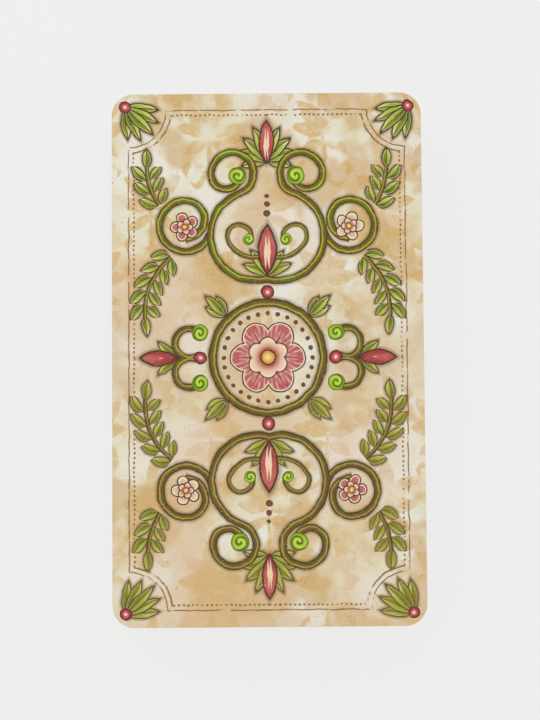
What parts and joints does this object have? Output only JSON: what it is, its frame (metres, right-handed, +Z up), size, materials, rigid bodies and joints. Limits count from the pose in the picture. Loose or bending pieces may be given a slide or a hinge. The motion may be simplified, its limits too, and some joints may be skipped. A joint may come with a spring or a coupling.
{
  "type": "tarot card deck",
  "caption": "Squared deck of tarot cards lying face down: round-cornered paper cards with an ornate parchment back print that fan about one corner; the top card turns over.",
  "frame": {"origin": "centre of the bottom card's underside, on the table", "axes": "+Z up through the deck, out of the printed backs; +Y along the cards' long side, towards the top edge in the picture; +X to the right in the picture"},
  "size_m": [0.0706, 0.1202, 0.0312],
  "materials": {
    "printed_card": "satin"
  },
  "bodies": {
    "wands_ace": {"wands_ace": "printed_card"},
    "wands_2_3": {"wands_2_3": "printed_card"},
    "wands_4_5": {"wands_4_5": "printed_card"},
    "wands_6_7": {"wands_6_7": "printed_card"},
    "wands_8_9_10": {"wands_8_9_10": "printed_card"},
    "wands_page": {"wands_page": "printed_card"},
    "wands_knight": {"wands_knight": "printed_card"},
    "wands_queen": {"wands_queen": "printed_card"},
    "wands_king": {"wands_king": "printed_card"},
    "cups_ace": {"cups_ace": "printed_card"},
    "cups_2_3": {"cups_2_3": "printed_card"},
    "cups_4_5": {"cups_4_5": "printed_card"},
    "cups_6_7": {"cups_6_7": "printed_card"},
    "cups_8_9_10": {"cups_8_9_10": "printed_card"},
    "cups_page": {"cups_page": "printed_card"},
    "cups_knight": {"cups_knight": "printed_card"},
    "cups_queen": {"cups_queen": "printed_card"},
    "cups_king": {"cups_king": "printed_card"},
    "swords_ace": {"swords_ace": "printed_card"},
    "swords_2_3": {"swords_2_3": "printed_card"},
    "swords_4_5": {"swords_4_5": "printed_card"},
    "swords_6_7": {"swords_6_7": "printed_card"},
    "swords_8_9_10": {"swords_8_9_10": "printed_card"},
    "swords_page": {"swords_page": "printed_card"},
    "swords_knight": {"swords_knight": "printed_card"},
    "swords_queen": {"swords_queen": "printed_card"},
    "swords_king": {"swords_king": "printed_card"},
    "coins_ace": {"coins_ace": "printed_card"},
    "coins_2_3": {"coins_2_3": "printed_card"},
    "coins_4_5": {"coins_4_5": "printed_card"},
    "coins_6_7": {"coins_6_7": "printed_card"},
    "coins_8_9_10": {"coins_8_9_10": "printed_card"},
    "coins_page": {"coins_page": "printed_card"},
    "coins_knight": {"coins_knight": "printed_card"},
    "coins_queen": {"coins_queen": "printed_card"},
    "coins_king": {"coins_king": "printed_card"},
    "trump_0_fool": {"trump_0_fool": "printed_card"},
    "trump_1_magician": {"trump_1_magician": "printed_card"},
    "trump_2_high_priestess": {"trump_2_high_priestess": "printed_card"},
    "trump_3_empress": {"trump_3_empress": "printed_card"},
    "trump_4_emperor": {"trump_4_emperor": "printed_card"},
    "trump_5_hierophant": {"trump_5_hierophant": "printed_card"},
    "trump_6_lovers": {"trump_6_lovers": "printed_card"},
    "trump_7_chariot": {"trump_7_chariot": "printed_card"},
    "trump_8_strength": {"trump_8_strength": "printed_card"},
    "trump_9_hermit": {"trump_9_hermit": "printed_card"},
    "trump_10_wheel_of_fortune": {"trump_10_wheel_of_fortune": "printed_card"},
    "trump_11_justice": {"trump_11_justice": "printed_card"},
    "trump_12_hanged_man": {"trump_12_hanged_man": "printed_card"},
    "trump_13_death": {"trump_13_death": "printed_card"},
    "trump_14_temperance": {"trump_14_temperance": "printed_card"},
    "trump_15_devil": {"trump_15_devil": "printed_card"},
    "trump_16_tower": {"trump_16_tower": "printed_card"},
    "trump_17_star": {"trump_17_star": "printed_card"},
    "trump_18_moon": {"trump_18_moon": "printed_card"},
    "trump_19_sun": {"trump_19_sun": "printed_card"},
    "trump_20_judgement": {"trump_20_judgement": "printed_card"},
    "trump_21_world": {"trump_21_world": "printed_card"}
  },
  "joints": [
    {"name": "fan_wands_2_3", "type": "hinge", "parent": "wands_ace", "child": "wands_2_3", "pos_m": [-0.03, -0.055, 0], "axis": [0, 0, 1], "range_deg": [0, 2.5]},
    {"name": "fan_wands_4_5", "type": "hinge", "parent": "wands_ace", "child": "wands_4_5", "pos_m": [-0.03, -0.055, 0], "axis": [0, 0, 1], "range_deg": [0, 5]},
    {"name": "fan_wands_6_7", "type": "hinge", "parent": "wands_ace", "child": "wands_6_7", "pos_m": [-0.03, -0.055, 0], "axis": [0, 0, 1], "range_deg": [0, 7.5]},
    {"name": "fan_wands_8_9_10", "type": "hinge", "parent": "wands_ace", "child": "wands_8_9_10", "pos_m": [-0.03, -0.055, 0], "axis": [0, 0, 1], "range_deg": [0, 10]},
    {"name": "fan_wands_page", "type": "hinge", "parent": "wands_ace", "child": "wands_page", "pos_m": [-0.03, -0.055, 0], "axis": [0, 0, 1], "range_deg": [0, 12.5]},
    {"name": "fan_wands_knight", "type": "hinge", "parent": "wands_ace", "child": "wands_knight", "pos_m": [-0.03, -0.055, 0], "axis": [0, 0, 1], "range_deg": [0, 15]},
    {"name": "fan_wands_queen", "type": "hinge", "parent": "wands_ace", "child": "wands_queen", "pos_m": [-0.03, -0.055, 0], "axis": [0, 0, 1], "range_deg": [0, 17.5]},
    {"name": "fan_wands_king", "type": "hinge", "parent": "wands_ace", "child": "wands_king", "pos_m": [-0.03, -0.055, 0], "axis": [0, 0, 1], "range_deg": [0, 20]},
    {"name": "fan_cups_ace", "type": "hinge", "parent": "wands_ace", "child": "cups_ace", "pos_m": [-0.03, -0.055, 0], "axis": [0, 0, 1], "range_deg": [0, 22.5]},
    {"name": "fan_cups_2_3", "type": "hinge", "parent": "wands_ace", "child": "cups_2_3", "pos_m": [-0.03, -0.055, 0], "axis": [0, 0, 1], "range_deg": [0, 25]},
    {"name": "fan_cups_4_5", "type": "hinge", "parent": "wands_ace", "child": "cups_4_5", "pos_m": [-0.03, -0.055, 0], "axis": [0, 0, 1], "range_deg": [0, 27.5]},
    {"name": "fan_cups_6_7", "type": "hinge", "parent": "wands_ace", "child": "cups_6_7", "pos_m": [-0.03, -0.055, 0], "axis": [0, 0, 1], "range_deg": [0, 30]},
    {"name": "fan_cups_8_9_10", "type": "hinge", "parent": "wands_ace", "child": "cups_8_9_10", "pos_m": [-0.03, -0.055, 0], "axis": [0, 0, 1], "range_deg": [0, 32.5]},
    {"name": "fan_cups_page", "type": "hinge", "parent": "wands_ace", "child": "cups_page", "pos_m": [-0.03, -0.055, 0], "axis": [0, 0, 1], "range_deg": [0, 35]},
    {"name": "fan_cups_knight", "type": "hinge", "parent": "wands_ace", "child": "cups_knight", "pos_m": [-0.03, -0.055, 0], "axis": [0, 0, 1], "range_deg": [0, 37.5]},
    {"name": "fan_cups_queen", "type": "hinge", "parent": "wands_ace", "child": "cups_queen", "pos_m": [-0.03, -0.055, 0], "axis": [0, 0, 1], "range_deg": [0, 40]},
    {"name": "fan_cups_king", "type": "hinge", "parent": "wands_ace", "child": "cups_king", "pos_m": [-0.03, -0.055, 0], "axis": [0, 0, 1], "range_deg": [0, 42.5]},
    {"name": "fan_swords_ace", "type": "hinge", "parent": "wands_ace", "child": "swords_ace", "pos_m": [-0.03, -0.055, 0], "axis": [0, 0, 1], "range_deg": [0, 45]},
    {"name": "fan_swords_2_3", "type": "hinge", "parent": "wands_ace", "child": "swords_2_3", "pos_m": [-0.03, -0.055, 0], "axis": [0, 0, 1], "range_deg": [0, 47.5]},
    {"name": "fan_swords_4_5", "type": "hinge", "parent": "wands_ace", "child": "swords_4_5", "pos_m": [-0.03, -0.055, 0], "axis": [0, 0, 1], "range_deg": [0, 50]},
    {"name": "fan_swords_6_7", "type": "hinge", "parent": "wands_ace", "child": "swords_6_7", "pos_m": [-0.03, -0.055, 0], "axis": [0, 0, 1], "range_deg": [0, 52.5]},
    {"name": "fan_swords_8_9_10", "type": "hinge", "parent": "wands_ace", "child": "swords_8_9_10", "pos_m": [-0.03, -0.055, 0], "axis": [0, 0, 1], "range_deg": [0, 55]},
    {"name": "fan_swords_page", "type": "hinge", "parent": "wands_ace", "child": "swords_page", "pos_m": [-0.03, -0.055, 0], "axis": [0, 0, 1], "range_deg": [0, 57.5]},
    {"name": "fan_swords_knight", "type": "hinge", "parent": "wands_ace", "child": "swords_knight", "pos_m": [-0.03, -0.055, 0], "axis": [0, 0, 1], "range_deg": [0, 60]},
    {"name": "fan_swords_queen", "type": "hinge", "parent": "wands_ace", "child": "swords_queen", "pos_m": [-0.03, -0.055, 0], "axis": [0, 0, 1], "range_deg": [0, 62.5]},
    {"name": "fan_swords_king", "type": "hinge", "parent": "wands_ace", "child": "swords_king", "pos_m": [-0.03, -0.055, 0], "axis": [0, 0, 1], "range_deg": [0, 65]},
    {"name": "fan_coins_ace", "type": "hinge", "parent": "wands_ace", "child": "coins_ace", "pos_m": [-0.03, -0.055, 0], "axis": [0, 0, 1], "range_deg": [0, 67.5]},
    {"name": "fan_coins_2_3", "type": "hinge", "parent": "wands_ace", "child": "coins_2_3", "pos_m": [-0.03, -0.055, 0], "axis": [0, 0, 1], "range_deg": [0, 70]},
    {"name": "fan_coins_4_5", "type": "hinge", "parent": "wands_ace", "child": "coins_4_5", "pos_m": [-0.03, -0.055, 0], "axis": [0, 0, 1], "range_deg": [0, 72.5]},
    {"name": "fan_coins_6_7", "type": "hinge", "parent": "wands_ace", "child": "coins_6_7", "pos_m": [-0.03, -0.055, 0], "axis": [0, 0, 1], "range_deg": [0, 75]},
    {"name": "fan_coins_8_9_10", "type": "hinge", "parent": "wands_ace", "child": "coins_8_9_10", "pos_m": [-0.03, -0.055, 0], "axis": [0, 0, 1], "range_deg": [0, 77.5]},
    {"name": "fan_coins_page", "type": "hinge", "parent": "wands_ace", "child": "coins_page", "pos_m": [-0.03, -0.055, 0], "axis": [0, 0, 1], "range_deg": [0, 80]},
    {"name": "fan_coins_knight", "type": "hinge", "parent": "wands_ace", "child": "coins_knight", "pos_m": [-0.03, -0.055, 0], "axis": [0, 0, 1], "range_deg": [0, 82.5]},
    {"name": "fan_coins_queen", "type": "hinge", "parent": "wands_ace", "child": "coins_queen", "pos_m": [-0.03, -0.055, 0], "axis": [0, 0, 1], "range_deg": [0, 85]},
    {"name": "fan_coins_king", "type": "hinge", "parent": "wands_ace", "child": "coins_king", "pos_m": [-0.03, -0.055, 0], "axis": [0, 0, 1], "range_deg": [0, 87.5]},
    {"name": "fan_trump_0_fool", "type": "hinge", "parent": "wands_ace", "child": "trump_0_fool", "pos_m": [-0.03, -0.055, 0], "axis": [0, 0, 1], "range_deg": [0, 90]},
    {"name": "fan_trump_1_magician", "type": "hinge", "parent": "wands_ace", "child": "trump_1_magician", "pos_m": [-0.03, -0.055, 0], "axis": [0, 0, 1], "range_deg": [0, 92.5]},
    {"name": "fan_trump_2_high_priestess", "type": "hinge", "parent": "wands_ace", "child": "trump_2_high_priestess", "pos_m": [-0.03, -0.055, 0], "axis": [0, 0, 1], "range_deg": [0, 95]},
    {"name": "fan_trump_3_empress", "type": "hinge", "parent": "wands_ace", "child": "trump_3_empress", "pos_m": [-0.03, -0.055, 0], "axis": [0, 0, 1], "range_deg": [0, 97.5]},
    {"name": "fan_trump_4_emperor", "type": "hinge", "parent": "wands_ace", "child": "trump_4_emperor", "pos_m": [-0.03, -0.055, 0], "axis": [0, 0, 1], "range_deg": [0, 100]},
    {"name": "fan_trump_5_hierophant", "type": "hinge", "parent": "wands_ace", "child": "trump_5_hierophant", "pos_m": [-0.03, -0.055, 0], "axis": [0, 0, 1], "range_deg": [0, 102.5]},
    {"name": "fan_trump_6_lovers", "type": "hinge", "parent": "wands_ace", "child": "trump_6_lovers", "pos_m": [-0.03, -0.055, 0], "axis": [0, 0, 1], "range_deg": [0, 105]},
    {"name": "fan_trump_7_chariot", "type": "hinge", "parent": "wands_ace", "child": "trump_7_chariot", "pos_m": [-0.03, -0.055, 0], "axis": [0, 0, 1], "range_deg": [0, 107.5]},
    {"name": "fan_trump_8_strength", "type": "hinge", "parent": "wands_ace", "child": "trump_8_strength", "pos_m": [-0.03, -0.055, 0], "axis": [0, 0, 1], "range_deg": [0, 110]},
    {"name": "fan_trump_9_hermit", "type": "hinge", "parent": "wands_ace", "child": "trump_9_hermit", "pos_m": [-0.03, -0.055, 0], "axis": [0, 0, 1], "range_deg": [0, 112.5]},
    {"name": "fan_trump_10_wheel_of_fortune", "type": "hinge", "parent": "wands_ace", "child": "trump_10_wheel_of_fortune", "pos_m": [-0.03, -0.055, 0], "axis": [0, 0, 1], "range_deg": [0, 115]},
    {"name": "fan_trump_11_justice", "type": "hinge", "parent": "wands_ace", "child": "trump_11_justice", "pos_m": [-0.03, -0.055, 0], "axis": [0, 0, 1], "range_deg": [0, 117.5]},
    {"name": "fan_trump_12_hanged_man", "type": "hinge", "parent": "wands_ace", "child": "trump_12_hanged_man", "pos_m": [-0.03, -0.055, 0], "axis": [0, 0, 1], "range_deg": [0, 120]},
    {"name": "fan_trump_13_death", "type": "hinge", "parent": "wands_ace", "child": "trump_13_death", "pos_m": [-0.03, -0.055, 0], "axis": [0, 0, 1], "range_deg": [0, 122.5]},
    {"name": "fan_trump_14_temperance", "type": "hinge", "parent": "wands_ace", "child": "trump_14_temperance", "pos_m": [-0.03, -0.055, 0], "axis": [0, 0, 1], "range_deg": [0, 125]},
    {"name": "fan_trump_15_devil", "type": "hinge", "parent": "wands_ace", "child": "trump_15_devil", "pos_m": [-0.03, -0.055, 0], "axis": [0, 0, 1], "range_deg": [0, 127.5]},
    {"name": "fan_trump_16_tower", "type": "hinge", "parent": "wands_ace", "child": "trump_16_tower", "pos_m": [-0.03, -0.055, 0], "axis": [0, 0, 1], "range_deg": [0, 130]},
    {"name": "fan_trump_17_star", "type": "hinge", "parent": "wands_ace", "child": "trump_17_star", "pos_m": [-0.03, -0.055, 0], "axis": [0, 0, 1], "range_deg": [0, 132.5]},
    {"name": "fan_trump_18_moon", "type": "hinge", "parent": "wands_ace", "child": "trump_18_moon", "pos_m": [-0.03, -0.055, 0], "axis": [0, 0, 1], "range_deg": [0, 135]},
    {"name": "fan_trump_19_sun", "type": "hinge", "parent": "wands_ace", "child": "trump_19_sun", "pos_m": [-0.03, -0.055, 0], "axis": [0, 0, 1], "range_deg": [0, 137.5]},
    {"name": "fan_spread", "type": "hinge", "parent": "wands_ace", "child": "trump_20_judgement", "pos_m": [-0.03, -0.055, 0], "axis": [0, 0, 1], "range_deg": [0, 140]},
    {"name": "top_card_turn", "type": "hinge", "parent": "trump_20_judgement", "child": "trump_21_world", "pos_m": [-0.045, 0, 0.01558], "axis": [0, -1, 0], "range_deg": [0, 180]}
  ],
  "couplings": [
    {"joint": "fan_wands_2_3", "follows": "fan_spread", "ratio": 0.017857},
    {"joint": "fan_wands_4_5", "follows": "fan_spread", "ratio": 0.035714},
    {"joint": "fan_wands_6_7", "follows": "fan_spread", "ratio": 0.053571},
    {"joint": "fan_wands_8_9_10", "follows": "fan_spread", "ratio": 0.071428},
    {"joint": "fan_wands_page", "follows": "fan_spread", "ratio": 0.089285},
    {"joint": "fan_wands_knight", "follows": "fan_spread", "ratio": 0.10714},
    {"joint": "fan_wands_queen", "follows": "fan_spread", "ratio": 0.125},
    {"joint": "fan_wands_king", "follows": "fan_spread", "ratio": 0.14286},
    {"joint": "fan_cups_ace", "follows": "fan_spread", "ratio": 0.16071},
    {"joint": "fan_cups_2_3", "follows": "fan_spread", "ratio": 0.17857},
    {"joint": "fan_cups_4_5", "follows": "fan_spread", "ratio": 0.19643},
    {"joint": "fan_cups_6_7", "follows": "fan_spread", "ratio": 0.21429},
    {"joint": "fan_cups_8_9_10", "follows": "fan_spread", "ratio": 0.23214},
    {"joint": "fan_cups_page", "follows": "fan_spread", "ratio": 0.25},
    {"joint": "fan_cups_knight", "follows": "fan_spread", "ratio": 0.26786},
    {"joint": "fan_cups_queen", "follows": "fan_spread", "ratio": 0.28571},
    {"joint": "fan_cups_king", "follows": "fan_spread", "ratio": 0.30357},
    {"joint": "fan_swords_ace", "follows": "fan_spread", "ratio": 0.32143},
    {"joint": "fan_swords_2_3", "follows": "fan_spread", "ratio": 0.33929},
    {"joint": "fan_swords_4_5", "follows": "fan_spread", "ratio": 0.35714},
    {"joint": "fan_swords_6_7", "follows": "fan_spread", "ratio": 0.375},
    {"joint": "fan_swords_8_9_10", "follows": "fan_spread", "ratio": 0.39286},
    {"joint": "fan_swords_page", "follows": "fan_spread", "ratio": 0.41071},
    {"joint": "fan_swords_knight", "follows": "fan_spread", "ratio": 0.42857},
    {"joint": "fan_swords_queen", "follows": "fan_spread", "ratio": 0.44643},
    {"joint": "fan_swords_king", "follows": "fan_spread", "ratio": 0.46429},
    {"joint": "fan_coins_ace", "follows": "fan_spread", "ratio": 0.48214},
    {"joint": "fan_coins_2_3", "follows": "fan_spread", "ratio": 0.5},
    {"joint": "fan_coins_4_5", "follows": "fan_spread", "ratio": 0.51786},
    {"joint": "fan_coins_6_7", "follows": "fan_spread", "ratio": 0.53571},
    {"joint": "fan_coins_8_9_10", "follows": "fan_spread", "ratio": 0.55357},
    {"joint": "fan_coins_page", "follows": "fan_spread", "ratio": 0.57143},
    {"joint": "fan_coins_knight", "follows": "fan_spread", "ratio": 0.58928},
    {"joint": "fan_coins_queen", "follows": "fan_spread", "ratio": 0.60714},
    {"joint": "fan_coins_king", "follows": "fan_spread", "ratio": 0.625},
    {"joint": "fan_trump_0_fool", "follows": "fan_spread", "ratio": 0.64286},
    {"joint": "fan_trump_1_magician", "follows": "fan_spread", "ratio": 0.66071},
    {"joint": "fan_trump_2_high_priestess", "follows": "fan_spread", "ratio": 0.67857},
    {"joint": "fan_trump_3_empress", "follows": "fan_spread", "ratio": 0.69643},
    {"joint": "fan_trump_4_emperor", "follows": "fan_spread", "ratio": 0.71428},
    {"joint": "fan_trump_5_hierophant", "follows": "fan_spread", "ratio": 0.73214},
    {"joint": "fan_trump_6_lovers", "follows": "fan_spread", "ratio": 0.75},
    {"joint": "fan_trump_7_chariot", "follows": "fan_spread", "ratio": 0.76786},
    {"joint": "fan_trump_8_strength", "follows": "fan_spread", "ratio": 0.78571},
    {"joint": "fan_trump_9_hermit", "follows": "fan_spread", "ratio": 0.80357},
    {"joint": "fan_trump_10_wheel_of_fortune", "follows": "fan_spread", "ratio": 0.82143},
    {"joint": "fan_trump_11_justice", "follows": "fan_spread", "ratio": 0.83928},
    {"joint": "fan_trump_12_hanged_man", "follows": "fan_spread", "ratio": 0.85714},
    {"joint": "fan_trump_13_death", "follows": "fan_spread", "ratio": 0.875},
    {"joint": "fan_trump_14_temperance", "follows": "fan_spread", "ratio": 0.89286},
    {"joint": "fan_trump_15_devil", "follows": "fan_spread", "ratio": 0.91071},
    {"joint": "fan_trump_16_tower", "follows": "fan_spread", "ratio": 0.92857},
    {"joint": "fan_trump_17_star", "follows": "fan_spread", "ratio": 0.94643},
    {"joint": "fan_trump_18_moon", "follows": "fan_spread", "ratio": 0.96428},
    {"joint": "fan_trump_19_sun", "follows": "fan_spread", "ratio": 0.98214}
  ]
}
